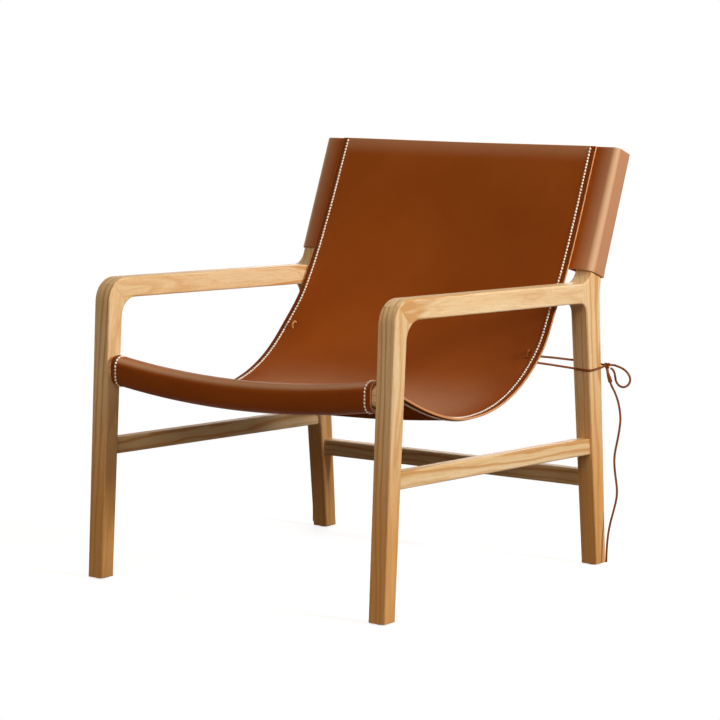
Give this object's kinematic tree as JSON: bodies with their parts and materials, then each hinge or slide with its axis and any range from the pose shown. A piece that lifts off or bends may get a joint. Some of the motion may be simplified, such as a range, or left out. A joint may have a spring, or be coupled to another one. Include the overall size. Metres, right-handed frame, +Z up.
{
  "type": "sling lounge chair",
  "caption": "Low lounge chair: solid wood side frames with raked back posts, and a saddle leather sling hung on sewn post sleeves, rolled over a dished front rail and laced to the rear legs.",
  "frame": {"origin": "on the floor, under the middle of the frame and sling, laces left out", "axes": "+Z up, the chair's front faces -Y, +X is the right-hand side seen from the front of the picture (the sitter's left)"},
  "size_m": [0.7342, 0.7294, 0.7525],
  "materials": {
    "wood": "oiled",
    "leather": "waxed saddle hide",
    "lace": "thong",
    "glide": "moulded"
  },
  "bodies": {
    "root": {"arm_left": "wood", "arm_right": "wood", "arm_tenon_left": "wood", "arm_tenon_right": "wood", "corner_tenon_left": "wood", "corner_tenon_right": "wood", "front_leg_left": "wood", "front_leg_right": "wood", "front_rail": "wood", "glide_front_left": "glide", "glide_front_right": "glide", "glide_rear_left": "glide", "glide_rear_right": "glide", "lace_bow_left": "lace", "lace_bow_right": "lace", "lace_end_left": "lace", "lace_end_right": "lace", "lace_knot_left": "lace", "lace_knot_right": "lace", "lace_left": "lace", "lace_right": "lace", "lace_tail_left": "lace", "lace_tail_right": "lace", "post_sleeve_left": "leather", "post_sleeve_right": "leather", "rear_post_left": "wood", "rear_post_right": "wood", "rear_stretcher": "wood", "side_stretcher_left": "wood", "side_stretcher_right": "wood", "sling_panel": "leather"}
  },
  "joints": []
}
